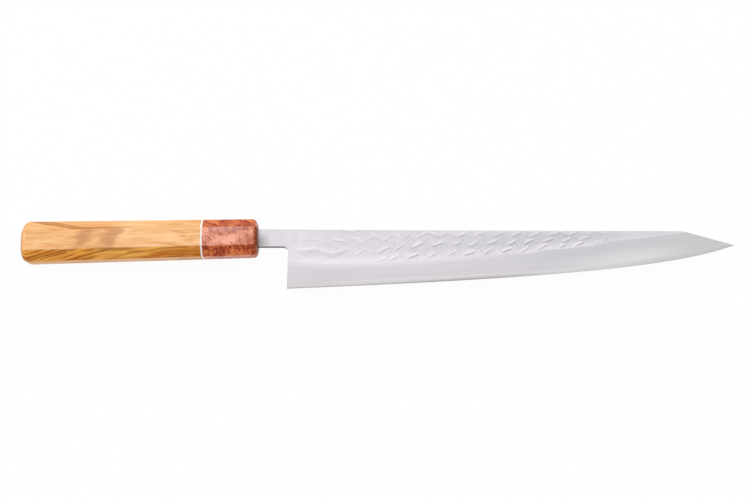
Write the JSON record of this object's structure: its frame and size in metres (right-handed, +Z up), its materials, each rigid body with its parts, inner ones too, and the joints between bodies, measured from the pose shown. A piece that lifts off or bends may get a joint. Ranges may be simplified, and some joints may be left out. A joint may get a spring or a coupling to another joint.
{
  "type": "slicing knife",
  "caption": "Long slim slicing knife with a straight spine, slanted tip, hammered flats and a polished bevel, on an octagonal wooden handle with a contrasting ferrule and a thin spacer.",
  "frame": {"origin": "on the surface the knife lies on, under the middle of its outline", "axes": "+X along the spine towards the tip, +Y from the edge towards the spine, +Z up out of the right face, with the knife lying on its left handle facet"},
  "size_m": [0.4302, 0.0418, 0.019],
  "materials": {
    "edge_steel": "fine lengthwise satin, ground",
    "cladding_steel": "hammered and satin above, ground and polished below",
    "burl_wood": "red curly burl, oiled satin",
    "pale_resin": "ivory coloured, satin",
    "olive_wood": "streaked olive wood, oiled satin",
    "dowel_wood": "plain hardwood, unfinished",
    "adhesive": "cured adhesive"
  },
  "bodies": {
    "root": {"core_steel": "edge_steel", "cladding_right": "cladding_steel", "cladding_left": "cladding_steel", "ferrule": "burl_wood", "spacer": "pale_resin", "handle_body": "olive_wood", "dowel": "dowel_wood", "tang_bedding": "adhesive"}
  },
  "joints": []
}
